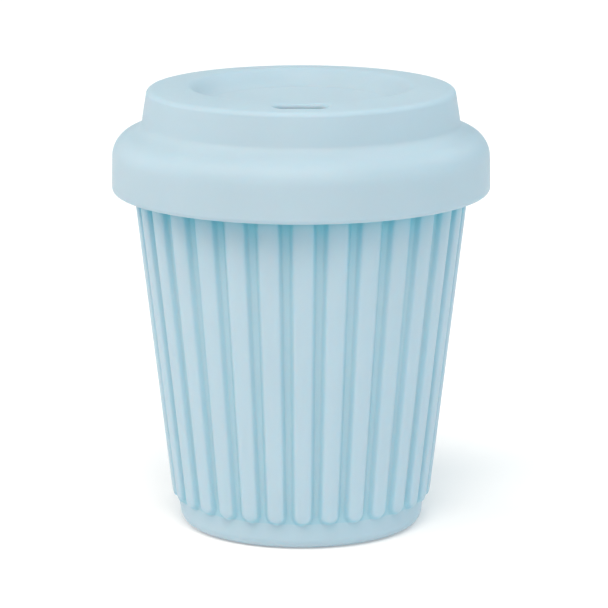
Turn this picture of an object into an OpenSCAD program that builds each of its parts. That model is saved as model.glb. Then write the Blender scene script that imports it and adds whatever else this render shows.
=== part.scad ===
// Reusable takeaway cup with a push-on sipping lid.
// Two soft silicone mouldings: a ribbed tapered cup, and a lid that lifts straight off its rim.
// Millimetres, +Z up. The origin is the centre of the face that the cup stands on, and -Y is the sipping side.

/* [Cup] */
// Height of the cup alone, up to the top of its rim
cup_height = 92.4; // [90:0.1:93]
// Outer radius of the wall between the ribs, carried down to the table
base_radius = 28.8; // [28:0.1:29]
// How much the wall's radius grows for each millimetre of height
taper = 0.118; // [0.115:0.0005:0.12]
// Wall thickness between the ribs
wall = 2.4; // [2:0.1:2.8]
// Thickness of the floor over the hollow underneath
floor_thickness = 3.4; // [2.5:0.1:5]
// Radius of the rounded edge between the wall and the underside
foot_round = 3.2; // [2:0.1:4]
// Radius of the shallow hollow under the base
foot_hollow_radius = 19.5; // [10:0.5:22]
// Depth of the shallow hollow under the base
foot_hollow_depth = 1.1; // [0.5:0.1:2]
// Radius of the rounding where the inside wall meets the floor
inside_round = 5; // [2:0.5:8]
// Outer radius of the bead round the rim
bead_radius = 41.5; // [41.2:0.05:41.6]
// Height of the bead's outer face and top rounding together
bead_height = 4.4; // [3.8:0.1:5]

/* [Ribs] */
// Number of ribs round the wall
rib_count = 30; // [20:1:32]
// Height of a rib over the wall beside it
rib_height = 1.45; // [1:0.05:1.6]
// Height at which the centre of a rib's rounded lower end stands
rib_start = 8.6; // [8:0.1:12]
// Radius of a rib's section at its lower end
rib_low_radius = 2.55; // [2.2:0.05:2.7]
// Radius of a rib's section just under the bead
rib_high_radius = 3.55; // [3:0.05:3.9]
// Angle from the sipping side to the nearest crest, towards +X
rib_phase = 0.77; // [0:0.01:12]

/* [Lid outside] */
// Outer radius of the skirt at its lower edge
skirt_radius = 45; // [44.6:0.1:46]
// How much smaller that radius is at the top of the skirt
skirt_draft = 0.12; // [0:0.02:0.3]
// Height of the skirt's lower edge over the table
skirt_bottom = 81; // [79:0.1:83]
// Radius of the skirt's outer lower edge
skirt_edge = 1.2; // [0.8:0.1:1.6]
// Height at which the straight skirt turns into the shoulder
shoulder_start = 89.4; // [88.8:0.1:90]
// Radius of the shoulder's curve
shoulder_round = 6.4; // [6:0.1:7]
// Angle that the shoulder's curve turns through before the raised ring
shoulder_turn = 71; // [66:1:76]
// Height of the lid's highest face over the table, which is the height of the whole object
lid_top = 106.2; // [105.5:0.1:107]
// Radius of the raised ring's wall, carried up to the height of the highest face
ring_radius = 36.45; // [36.2:0.05:36.8]
// How much the ring's wall leans in for each millimetre of height
ring_lean = 0.16; // [0.1:0.01:0.2]
// Radius of the raised ring's outer top edge
ring_round = 1.5; // [1:0.1:2]
// How much lower the ring's outer edge is than the dish's mouth
ring_fall = 0.6; // [0.1:0.1:1]
// Radius of the dish's mouth
dish_mouth = 27; // [26.6:0.1:27]
// Radius of the flat part of the dish
dish_floor = 21.6; // [20:0.1:22]
// Depth of the dish below the highest face
dish_depth = 3.9; // [3:0.1:4.2]

/* [Lid inside] */
// Wall thickness of the lid
lid_wall = 2.4; // [2:0.1:2.6]
// Gap between the skirt and the cup's bead, all round
skirt_gap = 0.4; // [0.3:0.05:0.5]
// Gap between the plug ring and the cup's inside wall, all round
plug_gap = 0.4; // [0.3:0.05:0.6]
// Gap left over the cup's rim
seat_gap = 0.1; // [0.05:0.05:0.3]
// How far the plug ring reaches down into the cup
plug_depth = 5; // [3:0.5:6]

/* [Sip hole] */
// Length of the sip hole along the ring
sip_length = 12; // [10:0.2:14]
// Width of the sip hole across the ring
sip_width = 4.8; // [4.6:0.1:5.4]
// Distance of the sip hole's centre from the axis
sip_distance = 29.7; // [29.6:0.1:30.2]
// Diameter of the air vent in the dish
vent_diameter = 1.6; // [1:0.1:2.5]
// Distance of the air vent from the axis
vent_distance = 14; // [8:1:16]

/* [Hidden] */
$fn = 96;
silicone_cup = [0.72, 0.85, 0.90];
silicone_lid = [0.76, 0.87, 0.91];

arc_steps = 8;
over = 1;

// Cup
lean_angle = atan(taper);
slant = sqrt(1 + taper * taper);
inside_floor = foot_hollow_depth + floor_thickness;
hollow_fillet = 2;
hollow_draft = 0.4;
bead_round = 1.8;
bead_edge = 1;
bead_underside = 1.6;
bead_low = cup_height - bead_height;
rib_top = bead_low + 1;

// Lid
skirt_inner = bead_radius + skirt_gap;
skirt_inner_edge = 0.8;
seat = cup_height + seat_gap;
seat_round = 1.4;
plug_bottom = cup_height - plug_depth;
plug_edge = 0.6;
plug_inner = 34.4;
plug_draft = 0.4;
plug_straight = 2;
plug_fillet = 1.5;
ring_edge_height = lid_top - ring_fall;
ring_edge_radius = ring_radius + ring_lean * (ring_fall + ring_round) - ring_round;
notch_rise = 1.15;
notch_round = 1.2;
dish_bend = 1.1;
dish_shift = 1.3;

// Radius of the wall between the ribs, and of the inside wall, at a height
function root_r(z) = base_radius + taper * z;
function inside_r(z) = root_r(z) - wall * slant;

// Radius of the lid's ring wall at a height
function ring_r(z) = ring_radius + ring_lean * (lid_top - z);

// Points along an arc round a centre, from one angle to another
function arc(centre, r, from, to) =
    [for (i = [0 : arc_steps]) let (a = from + (to - from) * i / arc_steps)
        centre + r * [cos(a), sin(a)]];

// Points along a smooth bend that leaves p0 towards p1 and arrives at p2 from p1
function bend(p0, p1, p2) =
    [for (i = [0 : arc_steps]) let (t = i / arc_steps)
        (1 - t) * (1 - t) * p0 + 2 * t * (1 - t) * p1 + t * t * p2];

// Points along an S-shaped slope between two level lines, from low to high
function slope(low, high, level) =
    let (foot = low + [level, 0], brow = high - [level, 0], middle = (foot + brow) / 2)
        concat(bend(low, foot, middle), bend(middle, brow, high));

function backwards(points) = [for (i = [len(points) - 1 : -1 : 0]) points[i]];

// Centre of a rounding of radius r that rests on a level line and touches the sloping wall from inside
function corner_r(line_r, level, r) = line_r + taper * (level + r) - r * slant;

module cup_wall() {
    foot_centre = [corner_r(base_radius, 0, foot_round), foot_round];
    floor_centre = [
        corner_r(base_radius - wall * slant, inside_floor, inside_round),
        inside_floor + inside_round
    ];
    under_bead = bead_low - bead_underside;
    rim_outer = [bead_radius - bead_round, cup_height - bead_round];
    rim_inner = [inside_r(cup_height) + bead_round * slant, cup_height - bead_round];
    rotate_extrude()
        polygon(concat(
            [[0, foot_hollow_depth]],
            bend(
                [foot_hollow_radius - hollow_fillet, foot_hollow_depth],
                [foot_hollow_radius, foot_hollow_depth],
                [foot_hollow_radius + hollow_draft, 0]
            ),
            arc(foot_centre, foot_round, -90, -lean_angle),
            [[root_r(under_bead), under_bead]],
            bend(
                [bead_radius - bead_edge, bead_low],
                [bead_radius, bead_low],
                [bead_radius, bead_low + bead_edge]
            ),
            arc(rim_outer, bead_round, 0, 90),
            arc(rim_inner, bead_round, 90, 180 - lean_angle),
            arc(floor_centre, inside_round, -lean_angle, -90),
            [[0, inside_floor]]
        ));
}

// One rib lying along the sloping wall, with a round lower end and its upper end inside the bead
module rib() {
    low = [root_r(rib_start) + rib_height - rib_low_radius, rib_start];
    high = [root_r(rib_top) + rib_height - rib_high_radius, rib_top];
    run = high - low;
    translate([low[0], 0, low[1]])
        rotate([0, atan2(run[0], run[1]), 0])
            rotate_extrude()
                polygon(concat(
                    arc([0, 0], rib_low_radius, -90, 0),
                    [[rib_high_radius, norm(run)]],
                    [[0, norm(run)]]
                ));
}

// All the ribs, with the part of each that would reach through the wall cut away
module ribs() {
    difference() {
        union() {
            for (i = [0 : rib_count - 1])
                rotate([0, 0, -90 + rib_phase + i * 360 / rib_count])
                    rib();
        }
        translate([0, 0, -over])
            cylinder(
                h = cup_height + over,
                r1 = root_r(-over) - wall / 2,
                r2 = root_r(cup_height) - wall / 2
            );
    }
}

module cup() {
    color(silicone_cup) {
        cup_wall();
        ribs();
    }
}

// The lid's whole section turned round the axis, before the holes
module lid_shell() {
    dish_z = lid_top - dish_depth;
    under_top = lid_top - lid_wall;
    under_dish = dish_z - lid_wall;
    ring_slope = atan(2 * ring_fall / (ring_edge_radius - dish_mouth));
    ring_edge = [ring_edge_radius, ring_edge_height - ring_round];
    shoulder_centre = [skirt_radius - skirt_draft - shoulder_round, shoulder_start];
    shoulder_top = shoulder_centre + shoulder_round * [cos(shoulder_turn), sin(shoulder_turn)];
    notch_z = shoulder_top[1] + notch_rise;
    plug_top = plug_inner - plug_draft;
    rotate_extrude()
        polygon(concat(
            [[0, dish_z]],
            slope([dish_floor, dish_z], [dish_mouth, lid_top], dish_bend),
            bend(
                [dish_mouth, lid_top],
                [(dish_mouth + ring_edge_radius) / 2, lid_top],
                [ring_edge_radius, ring_edge_height]
            ),
            arc(ring_edge, ring_round, 90 - ring_slope, atan(ring_lean)),
            bend(
                [ring_r(notch_z + notch_round), notch_z + notch_round],
                [ring_r(notch_z), notch_z],
                shoulder_top
            ),
            arc(shoulder_centre, shoulder_round, shoulder_turn, 0),
            arc([skirt_radius - skirt_edge, skirt_bottom + skirt_edge], skirt_edge, 0, -90),
            arc(
                [skirt_inner + skirt_inner_edge, skirt_bottom + skirt_inner_edge],
                skirt_inner_edge, -90, -180
            ),
            arc([skirt_inner - seat_round, seat - seat_round], seat_round, 0, 90),
            [[inside_r(seat) - plug_gap, seat]],
            [[inside_r(plug_bottom + plug_edge) - plug_gap, plug_bottom + plug_edge]],
            [[inside_r(plug_bottom) - plug_gap - plug_edge, plug_bottom]],
            [[plug_inner, plug_bottom]],
            [[plug_inner, seat + plug_straight]],
            bend(
                [plug_top, under_top - plug_fillet],
                [plug_top, under_top],
                [plug_top - plug_fillet, under_top]
            ),
            backwards(slope(
                [dish_floor + dish_shift, under_dish],
                [dish_mouth + dish_shift, under_top],
                dish_bend
            )),
            [[0, under_dish]]
        ));
}

module sip_hole() {
    end_x = (sip_length - sip_width) / 2;
    height = lid_top + over - plug_bottom;
    for (side = [-1, 1])
        translate([side * end_x, -sip_distance, plug_bottom])
            cylinder(h = height, r = sip_width / 2);
    translate([-end_x, -sip_distance - sip_width / 2, plug_bottom])
        cube([2 * end_x, sip_width, height]);
}

module vent() {
    low = lid_top - dish_depth - lid_wall - over;
    translate([0, -vent_distance, low])
        cylinder(h = lid_wall + 2 * over, d = vent_diameter);
}

module lid() {
    color(silicone_lid)
    difference() {
        lid_shell();
        sip_hole();
        vent();
    }
}

cup();
lid();
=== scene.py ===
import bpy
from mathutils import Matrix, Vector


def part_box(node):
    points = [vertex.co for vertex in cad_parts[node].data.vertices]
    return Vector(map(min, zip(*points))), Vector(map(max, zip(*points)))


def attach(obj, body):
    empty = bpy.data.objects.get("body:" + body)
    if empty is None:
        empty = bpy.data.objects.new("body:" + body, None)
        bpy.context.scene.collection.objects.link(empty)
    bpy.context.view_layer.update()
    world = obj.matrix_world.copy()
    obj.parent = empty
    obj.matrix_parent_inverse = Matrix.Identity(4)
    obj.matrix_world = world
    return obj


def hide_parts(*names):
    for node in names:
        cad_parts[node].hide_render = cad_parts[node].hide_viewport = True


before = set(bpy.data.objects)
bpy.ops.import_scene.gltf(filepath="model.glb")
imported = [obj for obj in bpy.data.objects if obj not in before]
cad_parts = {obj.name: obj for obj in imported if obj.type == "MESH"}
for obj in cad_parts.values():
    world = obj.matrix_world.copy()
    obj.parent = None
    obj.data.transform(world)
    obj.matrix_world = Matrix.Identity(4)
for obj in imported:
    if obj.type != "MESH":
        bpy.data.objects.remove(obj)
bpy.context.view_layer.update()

import math

import bpy
from mathutils import Vector
from mathutils.geometry import delaunay_2d_cdt

# A reusable takeaway cup: a ribbed tapered cup and a push-on sipping lid, both soft silicone.
# Sizes below are millimetres; the overall ones come from the frame.
MM = 0.001


def frame_size(node):
    """Height of a node's underside and top, and its largest radius, in millimetres."""
    low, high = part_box(node)
    return low[2] / MM, high[2] / MM, high[0] / MM


_, CUP_HEIGHT, BEAD_RADIUS = frame_size("cup")
SKIRT_BOTTOM, LID_TOP, SKIRT_RADIUS = frame_size("lid")

# ---------------------------------------------------------------- curves and rings


def mix(a, b, t):
    return a + (b - a) * t


def ease(x):
    """0 below 0, 1 above 1 and a smooth S between."""
    x = min(max(x, 0.0), 1.0)
    return x * x * (3 - 2 * x)


def smooth_max(a, b, soft):
    """The larger of two heights, with the crease between them rounded over soft."""
    near = max(soft - abs(a - b), 0.0) / soft
    return max(a, b) + near * near * soft / 4


def arc(centre, radius, start, end, steps):
    """Points (r, z) along an arc, from one angle in degrees to another."""
    turns = [math.radians(mix(start, end, i / steps)) for i in range(steps + 1)]
    return [(centre[0] + radius * math.cos(a), centre[1] + radius * math.sin(a)) for a in turns]


def bend(p0, p1, p2, steps):
    """Points (r, z) along a smooth bend that leaves p0 towards p1 and reaches p2 from p1."""
    points = []
    for i in range(steps + 1):
        t = i / steps
        weights = ((1 - t) ** 2, 2 * t * (1 - t), t * t)
        points.append(tuple(sum(w * p[k] for w, p in zip(weights, (p0, p1, p2))) for k in (0, 1)))
    return points


def line(p0, p1, steps):
    """Points (r, z) along a straight line, without its first one."""
    return [(mix(p0[0], p1[0], i / steps), mix(p0[1], p1[1], i / steps)) for i in range(1, steps + 1)]


class Shell:
    """Collects the vertices and faces of one closed piece, ring by ring."""

    def __init__(self):
        self.points = []
        self.faces = []

    def ring(self, points):
        first = len(self.points)
        self.points.extend(points)
        return list(range(first, len(self.points)))

    def turned(self, radius, height, count):
        """A level ring of count points, starting on the sipping side."""
        angles = [2 * math.pi * i / count for i in range(count)]
        return self.ring([(radius * math.sin(a), -radius * math.cos(a), height) for a in angles])

    def join(self, a, b):
        """Quads between two rings of the same length, or triangles where one is a multiple of the other."""
        if len(a) == len(b):
            for i in range(len(a)):
                j = (i + 1) % len(a)
                self.faces.append((a[i], a[j], b[j], b[i]))
            return
        fine, coarse, flip = (a, b, False) if len(a) > len(b) else (b, a, True)
        step = len(fine) // len(coarse)
        half = step // 2
        for i in range(len(coarse)):
            here, after = coarse[i], coarse[(i + 1) % len(coarse)]
            for k in range(step):
                f0, f1 = fine[i * step + k], fine[(i * step + k + 1) % len(fine)]
                face = (f0, f1, here if k < half else after)
                self.faces.append(face[::-1] if flip else face)
            middle = fine[i * step + half]
            face = (middle, after, here)
            self.faces.append(face[::-1] if flip else face)

    def sweep(self, rings):
        for a, b in zip(rings, rings[1:]):
            self.join(a, b)

    def close(self, ring, height, outward):
        """Fills a ring with a fan round a point on the axis."""
        centre = len(self.points)
        self.points.append((0.0, 0.0, height))
        for i in range(len(ring)):
            j = (i + 1) % len(ring)
            face = (ring[i], ring[j], centre)
            self.faces.append(face if outward else face[::-1])

    def build(self, name):
        mesh = bpy.data.meshes.new(name)
        mesh.from_pydata([Vector(p) * MM for p in self.points], [], self.faces)
        mesh.validate()
        mesh.shade_smooth()
        piece = bpy.data.objects.new(name, mesh)
        bpy.context.scene.collection.objects.link(piece)
        return piece


# ---------------------------------------------------------------- cup

# The wall's outside, without its ribs: its radius at the foot, and how much it grows per millimetre of height
BASE_RADIUS = 28.8
TAPER = 0.118
SLANT = math.hypot(1, TAPER)
LEAN = math.degrees(math.atan(TAPER))
WALL = 2.4
# The foot: its rounding, and the shallow hollow under it
FOOT_ROUND = 3.2
HOLLOW_RADIUS = 19.5
HOLLOW_DEPTH = 1.1
HOLLOW_BEND = 2.0
HOLLOW_DRAFT = 0.4
# The inside: the height of its floor, and the rounding up to the wall
FLOOR = 4.5
FLOOR_ROUND = 5.0
# The bead round the rim: its sloping underside runs into the ribs with a soft crease
BEAD_ROUND = 1.8
BEAD_LOW = CUP_HEIGHT - 4.4
BEAD_STEP = 0.4
BEAD_SLOPE = 1.3
BEAD_BLEND = 0.9

# Ribs: how far they stand out, how much of that is a crowned crest, and half their width at each end
RIBS = 30
RIB_HEIGHT = 1.45
RIB_CROWN = 0.5
RIB_START = 8.6
RIB_PHASE = math.radians(0.77)
RIB_HALF_LOW = 2.15
RIB_HALF_HIGH = 2.75
RIB_FLANK = 1.2

# The crest mark, which keeps the painted shade to the rib valleys below the lid: what it gains inside and
# under the lid, and where on the wall that gain starts and is full
COVERED = 5.0
COVERED_FROM = SKIRT_BOTTOM + 1
COVERED_SPAN = 4.0


def root_radius(z):
    return BASE_RADIUS + TAPER * z


def inside_radius(z):
    return root_radius(z) - WALL * SLANT


def rib_relief(angle, z):
    """Height over the wall at an angle from the sipping side.

    Each rib is a capsule with steep flanks, a crowned crest and a round lower end.
    """
    pitch = 2 * math.pi / RIBS
    off = (angle - RIB_PHASE + pitch / 2) % pitch - pitch / 2
    across = abs(off) * root_radius(z)
    along = (z - RIB_START) * SLANT
    half = mix(RIB_HALF_LOW, RIB_HALF_HIGH, max(along, 0.0) / (BEAD_LOW - RIB_START))
    reach = math.hypot(across, min(along, 0.0))
    flank = ease((half - reach) / RIB_FLANK + 0.5)
    crown = 1 - min(reach / half, 1.0) ** 2
    return (RIB_HEIGHT - RIB_CROWN) * flank + RIB_CROWN * crown * flank


def bead_radius(z):
    """Outside of the rim's bead, with a sloping underside."""
    return BEAD_RADIUS - max(BEAD_LOW + BEAD_STEP - z, 0.0) * BEAD_SLOPE


def cup_columns():
    """Angles of the columns round the wall, closer together along the ribs' flanks."""
    half_pitch = math.pi / RIBS
    # Places from a rib's middle (0) to the middle of the valley beside it (1)
    right = [0, 0.16, 0.32, 0.46, 0.56, 0.62, 0.67, 0.72, 0.77, 0.82, 0.88, 0.94]
    left = [-1.0] + [-share for share in reversed(right[1:])]
    return [RIB_PHASE + (2 * i + share) * half_pitch for i in range(RIBS) for share in left + right]


def corner_radius(wall_radius, level, rounding):
    """Distance from the axis of a rounding that rests on a level face and touches the sloping wall."""
    return wall_radius + TAPER * (level + rounding) - rounding * SLANT


def mark_crests(mesh):
    """Stores a mark at each point, which keeps the painted shade to the valleys that show with the lid on.

    It is 0 in a valley and 1 on a crest or a smooth part, and COVERED more inside and under the lid.
    """
    crest = mesh.attributes.new("crest", "FLOAT", "POINT")
    for vertex, mark in zip(mesh.vertices, crest.data):
        x, y, z = (c / MM for c in vertex.co)
        inside = z > FLOOR - 0.1 and math.hypot(x, y) < inside_radius(z) + 0.5
        on_ribs = not inside and RIB_START - RIB_HALF_LOW < z < BEAD_LOW - 1
        relief = rib_relief(math.atan2(x, -y), z) / RIB_HEIGHT if on_ribs else 1.0
        mark.value = relief + COVERED * (1 if inside else ease((z - COVERED_FROM) / COVERED_SPAN))


def make_cup():
    shell = Shell()
    angles = cup_columns()
    # Every fourth column is enough where there are no ribs
    coarse = angles[::4]

    def level(radius, z):
        return shell.ring([(radius * math.sin(a), -radius * math.cos(a), z) for a in coarse])

    foot_centre = (corner_radius(BASE_RADIUS, 0, FOOT_ROUND), FOOT_ROUND)
    under = [(r, HOLLOW_DEPTH) for r in (2, 7, 12)]
    under += bend((HOLLOW_RADIUS - HOLLOW_BEND, HOLLOW_DEPTH), (HOLLOW_RADIUS, HOLLOW_DEPTH),
                  (HOLLOW_RADIUS + HOLLOW_DRAFT, 0), 6)
    under.append((22.5, 0.0))
    foot = arc(foot_centre, FOOT_ROUND, -90, -LEAN, 10)
    rings = [level(r, z) for r, z in under + foot]
    shell.close(rings[0], HOLLOW_DEPTH, False)

    stretches = (
        (FOOT_ROUND, RIB_START + 0.5, 30),
        (RIB_START + 0.5, BEAD_LOW - 3, 16),
        (BEAD_LOW - 3, BEAD_LOW + 1.4, 18),
    )
    for low, high, steps in stretches:
        for z in (mix(low, high, i / steps) for i in range(1, steps + 1)):
            row = []
            for a in angles:
                ribbed = smooth_max(root_radius(z) + rib_relief(a, z), bead_radius(z), BEAD_BLEND)
                radius = min(ribbed, BEAD_RADIUS)
                row.append((radius * math.sin(a), -radius * math.cos(a), z))
            rings.append(shell.ring(row))

    rim_outer = (BEAD_RADIUS - BEAD_ROUND, CUP_HEIGHT - BEAD_ROUND)
    rim_inner = (inside_radius(CUP_HEIGHT) + BEAD_ROUND * SLANT, CUP_HEIGHT - BEAD_ROUND)
    floor_centre = (corner_radius(BASE_RADIUS - WALL * SLANT, FLOOR, FLOOR_ROUND), FLOOR + FLOOR_ROUND)
    over = arc(rim_outer, BEAD_ROUND, 0, 90, 10) + arc(rim_inner, BEAD_ROUND, 90, 180 - LEAN, 10)
    floor_bend = arc(floor_centre, FLOOR_ROUND, -LEAN, -90, 12)
    inside = over + line(over[-1], floor_bend[0], 12)[:-1] + floor_bend + [(r, FLOOR) for r in (16, 9, 3)]
    rings += [level(r, z) for r, z in inside]
    shell.sweep(rings)
    shell.close(rings[-1], FLOOR, True)
    piece = shell.build("ribbed_cup")
    mark_crests(piece.data)
    return piece


# ---------------------------------------------------------------- lid

# Outside of the skirt and the round shoulder, with the notch where the raised ring starts
SKIRT_DRAFT = 0.12
SKIRT_EDGE = 1.2
SHOULDER_START = 89.4
SHOULDER_ROUND = 6.4
SHOULDER_TURN = 71.0
NOTCH_RISE = 1.15
NOTCH_ROUND = 1.2
# Raised ring: its leaning side, and its top, which falls a little towards the edge
RING_RADIUS = 36.45
RING_LEAN = 0.16
RING_ROUND = 1.5
RING_FALL = 0.6
RING_EDGE = RING_RADIUS + RING_LEAN * (RING_FALL + RING_ROUND) - RING_ROUND
# Dish in the middle of the top: the radii where its side starts and ends, and how far out its inner face lies
DISH_MOUTH = 27.0
DISH_FLOOR = 21.6
DISH_DEPTH = 3.9
DISH_SHIFT = 1.3
LID_WALL = 2.4
LID_COLUMNS = 240

# Inside: the groove for the rim, and the plug ring that goes down into the mouth
SKIRT_INNER = BEAD_RADIUS + 0.4
SKIRT_INNER_EDGE = 0.8
SEAT = CUP_HEIGHT + 0.1
SEAT_ROUND = 1.4
SEAT_BEND = 0.6
PLUG_BOTTOM = CUP_HEIGHT - 5.0
PLUG_EDGE = 1.0
PLUG_INNER = 34.4
PLUG_TOP = PLUG_INNER - 0.4
PLUG_BEND = 1.5
PLUG_GAP = 0.4

# Holes: distance from the axis, half the straight part, end radius, and rounding of the upper edge
SIP_DISTANCE = 29.7
SIP_STRAIGHT = 3.6
SIP_ROUND = 2.4
SIP_FILLET = 1.3
VENT_DISTANCE = 14.0
VENT_ROUND = 0.8
VENT_FILLET = 0.25
# Each hole through the lid's top, as above, with its numbers of points round each end and along each side
HOLES = (
    (SIP_DISTANCE, SIP_STRAIGHT, SIP_ROUND, SIP_FILLET, 30, 16),
    (VENT_DISTANCE, 0.0, VENT_ROUND, VENT_FILLET, 14, 0),
)


def ring_radius(z):
    return RING_RADIUS + RING_LEAN * (LID_TOP - z)


def from_slot(x, y, distance, straight):
    """Distance from the middle line of a round-ended shape that lies across the sipping side."""
    return math.hypot(max(abs(x) - straight, 0.0), y + distance)


def ring_fall(r):
    """How far the raised ring's top has fallen below its highest circle, at a distance from the axis."""
    return RING_FALL * (max(r - DISH_MOUTH, 0.0) / (RING_EDGE - DISH_MOUTH)) ** 2


def top_height(x, y):
    """Height of the lid's upper face: a dish inside a raised ring, and the rounded edges of the holes."""
    r = math.hypot(x, y)
    height = -DISH_DEPTH * (1 - ease((r - DISH_FLOOR) / (DISH_MOUTH - DISH_FLOOR))) - ring_fall(r)
    for distance, straight, radius, fillet, *_ in HOLES:
        edge = from_slot(x, y, distance, straight) - radius
        inward = min(max(fillet - edge, 0.0), fillet)
        height -= fillet - math.sqrt(fillet * fillet - inward * inward)
    return LID_TOP + height


def under_point(x, y):
    """The point of the lid's inner face under a point of its plan.

    The face follows the dish, is flat under the raised ring, and bends down into the plug ring near the edge.
    """
    r = math.hypot(x, y)
    flat = PLUG_TOP - PLUG_BEND
    turn = math.pi / 2 * max(r - flat, 0.0) / (RING_EDGE - flat)
    reach = (min(r, flat) + PLUG_BEND * math.sin(turn)) / max(r, 1.0)
    dish = -DISH_DEPTH * (1 - ease((r - DISH_FLOOR - DISH_SHIFT) / (DISH_MOUTH - DISH_FLOOR)))
    return x * reach, y * reach, LID_TOP - LID_WALL + dish - PLUG_BEND * (1 - math.cos(turn))


def outline(distance, straight, radius, around, along):
    """Points round a round-ended shape: around on each end, and along on each straight side."""
    points = []
    for side in (1, -1):
        for i in range(around):
            a = math.pi * (i / around - 0.5)
            points.append((side * (straight + radius * math.cos(a)), side * radius * math.sin(a) - distance))
        for i in range(along):
            points.append((side * straight * (1 - 2 * i / along), side * radius - distance))
    return points


def feature_at(x, y):
    """Which feature's own rings of points carry the surface at a place on the lid's top: a hole or "ring"."""
    for number, (distance, straight, radius, fillet, *_) in enumerate(HOLES):
        if from_slot(x, y, distance, straight) < radius + fillet + 0.8:
            return number
    return "ring"


def top_plan():
    """Plan of the lid's top: its points, its triangles with the holes left open, and each edge's loop."""
    turns = [2 * math.pi * i / LID_COLUMNS for i in range(LID_COLUMNS)]
    loops = [[(RING_EDGE * math.sin(a), -RING_EDGE * math.cos(a)) for a in turns]]
    loose = []
    for number, (distance, straight, radius, fillet, around, along) in enumerate(HOLES):
        loops.append(outline(distance, straight, radius, around, along))
        steps = [fillet * (1 - math.cos(math.radians(a))) for a in (12, 24, 36, 48, 60, 70, 80, 90)]
        for step in steps + [fillet + 0.3, fillet + 0.7]:
            loose += [(number, p) for p in outline(distance, straight, radius + step, around, along)]
    radii = [2, 5, 8, 11, 14, 16.5, 18.5, 20, 21]
    radii += [mix(DISH_FLOOR, DISH_MOUTH, k / 16) for k in range(17)]
    radii += [mix(DISH_MOUTH, PLUG_TOP - PLUG_BEND, k / 6) for k in range(1, 7)]
    radii += [mix(PLUG_TOP - PLUG_BEND, RING_EDGE, k / 6) for k in range(1, 6)]
    for n, r in enumerate(radii):
        count = LID_COLUMNS if r > 18 else LID_COLUMNS // 4
        turns = [2 * math.pi * (i + 0.5 * (n % 2)) / count for i in range(count)]
        loose += [("ring", (r * math.sin(a), -r * math.cos(a))) for a in turns]

    points = [p for loop in loops for p in loop]
    edges, first = [], 0
    for loop in loops:
        edges += [(first + i, first + (i + 1) % len(loop)) for i in range(len(loop))]
        first += len(loop)
    points += [p for feature, p in loose if feature_at(*p) == feature and math.hypot(*p) < RING_EDGE - 0.4]
    places, _, triangles, sources, _, _ = delaunay_2d_cdt([Vector(p) for p in points], edges, [], 0, 1e-5)
    where = {old: new for new, olds in enumerate(sources) for old in olds}
    edge_loops, first = [], 0
    for loop in loops:
        edge_loops.append([where[first + i] for i in range(len(loop))])
        first += len(loop)
    hole_edges = [set(loop) for loop in edge_loops[1:]]
    solid = [tuple(t) for t in triangles if not any(hole.issuperset(t) for hole in hole_edges)]
    return [tuple(p) for p in places], solid, edge_loops


def lid_section():
    """The lid's section: down inside the plug ring, under it and the skirt, and up to the top's edge."""
    plug_outer = [inside_radius(z) - PLUG_GAP for z in (PLUG_BOTTOM, SEAT)]
    shoulder = (SKIRT_RADIUS - SKIRT_DRAFT - SHOULDER_ROUND, SHOULDER_START)
    curve = arc(shoulder, SHOULDER_ROUND, 0, SHOULDER_TURN, 22)
    notch = curve[-1][1] + NOTCH_RISE
    edge = (RING_EDGE, LID_TOP - RING_FALL - RING_ROUND)
    ring_slope = math.degrees(math.atan(2 * RING_FALL / (RING_EDGE - DISH_MOUTH)))
    section = line((PLUG_TOP, LID_TOP - LID_WALL - PLUG_BEND), (PLUG_INNER, PLUG_BOTTOM + PLUG_EDGE), 6)
    section += arc((plug_outer[0] - PLUG_EDGE, PLUG_BOTTOM + PLUG_EDGE), PLUG_EDGE, -180, 0, 10)
    section += line(section[-1], (plug_outer[1], SEAT - SEAT_BEND - 0.2), 4)
    section += bend((plug_outer[1], SEAT - SEAT_BEND), (plug_outer[1], SEAT),
                    (plug_outer[1] + SEAT_BEND, SEAT), 5)
    section += arc((SKIRT_INNER - SEAT_ROUND, SEAT - SEAT_ROUND), SEAT_ROUND, 90, 0, 7)
    section += line(section[-1], (SKIRT_INNER, SKIRT_BOTTOM + SKIRT_INNER_EDGE + 0.4), 6)
    section += arc((SKIRT_INNER + SKIRT_INNER_EDGE, SKIRT_BOTTOM + SKIRT_INNER_EDGE),
                   SKIRT_INNER_EDGE, 180, 270, 6)
    section += arc((SKIRT_RADIUS - SKIRT_EDGE, SKIRT_BOTTOM + SKIRT_EDGE), SKIRT_EDGE, -90, 0, 9)
    section += line(section[-1], curve[0], 5)
    section += curve[1:]
    section += bend(curve[-1], (ring_radius(notch), notch),
                    (ring_radius(notch + NOTCH_ROUND), notch + NOTCH_ROUND), 9)[1:]
    section += line(section[-1], (edge[0] + RING_ROUND, edge[1]), 4)
    section += arc(edge, RING_ROUND, math.degrees(math.atan(RING_LEAN)), 90 - ring_slope, 12)[:-1]
    return section


def make_lid():
    shell = Shell()
    places, triangles, loops = top_plan()
    top = shell.ring([(x, y, top_height(x, y)) for x, y in places])
    under = shell.ring([under_point(x, y) for x, y in places])
    for a, b, c in triangles:
        shell.faces.append((top[a], top[b], top[c]))
        shell.faces.append((under[c], under[b], under[a]))
    for loop in loops[1:]:
        rings = [[top[i] for i in loop]]
        for part in (0.25, 0.5, 0.75):
            rings.append(shell.ring([tuple(mix(shell.points[top[i]][k], shell.points[under[i]][k], part)
                                           for k in range(3)) for i in loop]))
        rings.append([under[i] for i in loop])
        shell.sweep(rings)
    rings = [[under[i] for i in loops[0]]]
    rings += [shell.turned(r, z, LID_COLUMNS) for r, z in lid_section()]
    rings.append([top[i] for i in loops[0]])
    shell.sweep(rings)
    return shell.build("sipping_lid")


# ---------------------------------------------------------------- materials

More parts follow.
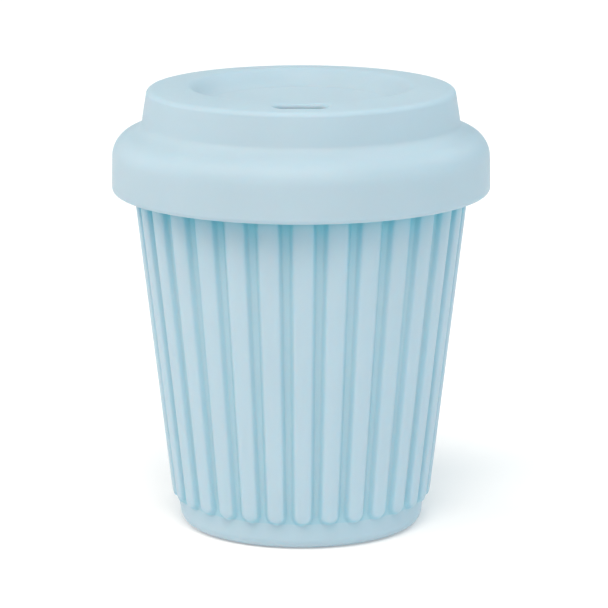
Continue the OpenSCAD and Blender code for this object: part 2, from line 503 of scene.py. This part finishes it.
# Lengths are metres from here on.
# Noise scales: the colour's drift, the sheen and the fine matt grain
DRIFT_SCALE = 45
SHEEN_SCALE = 900
GRAIN_SCALE = 4000
DRIFT = 0.015
SHEEN = (0.46, 0.56)
GRAIN_STRENGTH = 0.08
GRAIN_HEIGHT = 0.00005

# Painted shade in the cup's colour: how far it looks for other surfaces, where its colours lie from closed in
# (0) to open (1), and how much more open a crest counts
PAINTED_SHADE_DISTANCE = 0.02
PAINTED_SHADE_STEPS = (0.36, 0.6, 0.93)
CREST_GAIN = 0.2
# It looks out with the normal tilted upwards, and fades near the foot, so that the floor doesn't count
PAINTED_SHADE_RISE = 0.7
PAINTED_SHADE_FADE = (0.001, 0.006)

CUP_COLOUR = (0.408, 0.529, 0.602)
# The cup's painted shade: its colour darkened, mostly in red, towards these two tints where it is closed in
CUP_PAINTED_SHADE = ((0.36, 0.90, 0.98), (0.75, 0.96, 1.0))
LID_COLOUR = (0.394, 0.503, 0.57)


def openness(tree):
    """How open the surface lies to its surroundings, with the crest mark's gain, as the painted shade's mask:
    a node's output.
    """
    nodes, links = tree.nodes, tree.links
    raised = nodes.new("ShaderNodeVectorMath")
    raised.inputs[1].default_value = (0, 0, PAINTED_SHADE_RISE)
    links.new(nodes.new("ShaderNodeNewGeometry").outputs["Normal"], raised.inputs[0])
    upward = nodes.new("ShaderNodeVectorMath")
    upward.operation = "NORMALIZE"
    links.new(raised.outputs["Vector"], upward.inputs[0])
    open_sky = nodes.new("ShaderNodeAmbientOcclusion")
    open_sky.samples = 8
    open_sky.inputs["Distance"].default_value = PAINTED_SHADE_DISTANCE
    links.new(upward.outputs["Vector"], open_sky.inputs["Normal"])
    crest = nodes.new("ShaderNodeAttribute")
    crest.attribute_name = "crest"
    exposed = nodes.new("ShaderNodeMath")
    exposed.operation = "MULTIPLY_ADD"
    exposed.inputs[1].default_value = CREST_GAIN
    links.new(crest.outputs["Fac"], exposed.inputs[0])
    links.new(open_sky.outputs["AO"], exposed.inputs[2])
    return exposed.outputs["Value"]


def painted_shade(tree, place, colour, shade_tints):
    """Paints shade into a colour where the surface is close to others, darkest in red, as light that bounces
    there loses its red.
    """
    nodes, links = tree.nodes, tree.links
    ramp = nodes.new("ShaderNodeValToRGB")
    ramp.color_ramp.elements.new(PAINTED_SHADE_STEPS[1])
    for stop, position, tint in zip(ramp.color_ramp.elements, PAINTED_SHADE_STEPS, (*shade_tints, (1, 1, 1))):
        stop.position = position
        stop.color = (*tint, 1)
    links.new(openness(tree), ramp.inputs["Fac"])
    height = nodes.new("ShaderNodeSeparateXYZ")
    links.new(place, height.inputs["Vector"])
    fade = nodes.new("ShaderNodeMapRange")
    fade.inputs["From Min"].default_value, fade.inputs["From Max"].default_value = PAINTED_SHADE_FADE
    links.new(height.outputs["Z"], fade.inputs["Value"])
    product = nodes.new("ShaderNodeMix")
    product.data_type = "RGBA"
    product.blend_type = "MULTIPLY"
    links.new(fade.outputs["Result"], product.inputs["Factor"])
    links.new(colour, product.inputs["A"])
    links.new(ramp.outputs["Color"], product.inputs["B"])
    return product.outputs["Result"]


def silicone(name, colour, grain_seed, shade_tints=None):
    """Satin moulded silicone: soft colour drift, a matt grain and slight translucency.

    shade_tints are the two colours of its painted shade, or None where it has no painted shade.
    """
    material = bpy.data.materials.new(name)
    material.use_nodes = True
    nodes, links = material.node_tree.nodes, material.node_tree.links
    shader = nodes["Principled BSDF"]
    place = nodes.new("ShaderNodeTexCoord").outputs["Object"]

    def noise(scale, detail, offset):
        shift = nodes.new("ShaderNodeMapping")
        shift.inputs["Location"].default_value = (grain_seed, offset, 0)
        links.new(place, shift.inputs["Vector"])
        texture = nodes.new("ShaderNodeTexNoise")
        texture.inputs["Scale"].default_value = scale
        texture.inputs["Detail"].default_value = detail
        links.new(shift.outputs["Vector"], texture.inputs["Vector"])
        return texture.outputs["Fac"]

    drift = nodes.new("ShaderNodeValToRGB")
    for stop, position, change in zip(drift.color_ramp.elements, (0.3, 0.7), (1 - DRIFT, 1 + DRIFT)):
        stop.position = position
        stop.color = (*[c * change for c in colour], 1)
    links.new(noise(DRIFT_SCALE, 2, 3), drift.inputs["Fac"])
    skin = drift.outputs["Color"]
    # Painted shade: the colour darkened where the surface is closed in
    if shade_tints:
        skin = painted_shade(material.node_tree, place, skin, shade_tints)
    links.new(skin, shader.inputs["Base Color"])

    sheen = nodes.new("ShaderNodeMapRange")
    sheen.inputs["To Min"].default_value, sheen.inputs["To Max"].default_value = SHEEN
    links.new(noise(SHEEN_SCALE, 3, 11), sheen.inputs["Value"])
    links.new(sheen.outputs["Result"], shader.inputs["Roughness"])

    bump = nodes.new("ShaderNodeBump")
    bump.inputs["Strength"].default_value = GRAIN_STRENGTH
    bump.inputs["Distance"].default_value = GRAIN_HEIGHT
    links.new(noise(GRAIN_SCALE, 4, 23), bump.inputs["Height"])
    links.new(bump.outputs["Normal"], shader.inputs["Normal"])

    shader.inputs["Specular IOR Level"].default_value = 0.35
    shader.inputs["Subsurface Weight"].default_value = 0.6
    shader.inputs["Subsurface Radius"].default_value = (0.35, 0.8, 1.0)
    shader.inputs["Subsurface Scale"].default_value = 0.002
    return material


cup = make_cup()
# The cup's material carries painted shade in the rib valleys below the lid
cup.data.materials.append(silicone("cup_satin", CUP_COLOUR, 1.0, CUP_PAINTED_SHADE))
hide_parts("cup")
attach(cup, "cup")

lid = make_lid()
lid.data.materials.append(silicone("lid_satin", LID_COLOUR, 5.0))
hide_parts("lid")
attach(lid, "lid")

# ---------------------------------------------------------------- floor, light and camera

# Half the floor's side, its colour and how strongly it glows
FLOOR_HALF = 6.0
FLOOR_COLOUR = (0.76, 0.73, 0.72)
FLOOR_GLOW = 0.24

# Colours of the light, the strength of the ambient light, and the height that the lights aim at
WARM = (1.15, 1.0, 0.88)
COOL = (0.75, 1.0, 1.1)
NEUTRAL = (1.0, 1.0, 1.0)
AMBIENT = 0.45
AIM_HEIGHT = 0.06

CAMERA_DISTANCE = 0.90
CAMERA_PITCH = math.radians(12.2)
CAMERA_SIDE = 0.0007
CAMERA_AIM = 0.0531
# Millimetres, on a sensor 36 mm wide
SENSOR = 36
LENS = 222.158


def make_floor():
    """A white light table: lit from above and a little from inside, which keeps the shadows on it pale."""
    mesh = bpy.data.meshes.new("floor")
    corners = [(x * FLOOR_HALF, y * FLOOR_HALF, 0) for x, y in ((-1, -1), (1, -1), (1, 1), (-1, 1))]
    mesh.from_pydata(corners, [], [(0, 1, 2, 3)])
    floor = bpy.data.objects.new("floor", mesh)
    bpy.context.scene.collection.objects.link(floor)
    material = bpy.data.materials.new("floor_white")
    material.use_nodes = True
    shader = material.node_tree.nodes["Principled BSDF"]
    shader.inputs["Base Color"].default_value = (*FLOOR_COLOUR, 1)
    shader.inputs["Emission Color"].default_value = (*NEUTRAL, 1)
    shader.inputs["Emission Strength"].default_value = FLOOR_GLOW
    shader.inputs["Roughness"].default_value = 0.9
    shader.inputs["Specular IOR Level"].default_value = 0.1
    mesh.materials.append(material)


def softbox(name, azimuth, elevation, power, colour=NEUTRAL, size=2.0, distance=4.0):
    """A round soft light aimed at the cup; azimuth 0 is the sipping side and grows towards +X."""
    middle = Vector((0, 0, AIM_HEIGHT))
    a, e = math.radians(azimuth), math.radians(elevation)
    away = Vector((math.sin(a) * math.cos(e), -math.cos(a) * math.cos(e), math.sin(e)))
    light = bpy.data.lights.new(name, "AREA")
    light.shape = "DISK"
    light.size = size
    light.energy = power
    light.color = colour
    lamp = bpy.data.objects.new(name, light)
    lamp.location = middle + away * distance
    lamp.rotation_mode = "QUATERNION"
    lamp.rotation_quaternion = (-away).to_track_quat("-Z", "Y")
    bpy.context.scene.collection.objects.link(lamp)


def make_world():
    """Cool, even light from all round, and a white backdrop above the floor's far edge."""
    world = bpy.data.worlds.new("studio")
    world.use_nodes = True
    nodes, links = world.node_tree.nodes, world.node_tree.links
    ambient = nodes["Background"]
    ambient.inputs["Color"].default_value = (*COOL, 1)
    ambient.inputs["Strength"].default_value = AMBIENT
    backdrop = nodes.new("ShaderNodeBackground")
    backdrop.inputs["Color"].default_value = (*NEUTRAL, 1)
    seen = nodes.new("ShaderNodeMixShader")
    links.new(nodes.new("ShaderNodeLightPath").outputs["Is Camera Ray"], seen.inputs["Fac"])
    links.new(ambient.outputs["Background"], seen.inputs[1])
    links.new(backdrop.outputs["Background"], seen.inputs[2])
    links.new(seen.outputs["Shader"], nodes["World Output"].inputs["Surface"])
    bpy.context.scene.world = world


def make_camera():
    """Looks along +Y at the sipping side, from a little above."""
    data = bpy.data.cameras.new("camera")
    data.sensor_width = SENSOR
    data.lens = LENS
    data.clip_start = 0.05
    data.clip_end = 50
    camera = bpy.data.objects.new("camera", data)
    camera.location = (
        CAMERA_SIDE,
        -CAMERA_DISTANCE * math.cos(CAMERA_PITCH),
        CAMERA_AIM + CAMERA_DISTANCE * math.sin(CAMERA_PITCH),
    )
    camera.rotation_euler = (math.pi / 2 - CAMERA_PITCH, 0, 0)
    bpy.context.scene.collection.objects.link(camera)
    bpy.context.scene.camera = camera


make_floor()
softbox("key_front", 0, 54, 70, WARM)
softbox("key_left", -60, 48, 44, WARM)
softbox("top", 0, 72, 28)
softbox("rim_left", -110, 18, 31)
softbox("rim_right", 120, 40, 27)
softbox("side_right", 75, 15, 18, COOL)
softbox("front_low", 0, 15, 16)
make_world()
make_camera()
bpy.context.scene.view_settings.view_transform = "Standard"
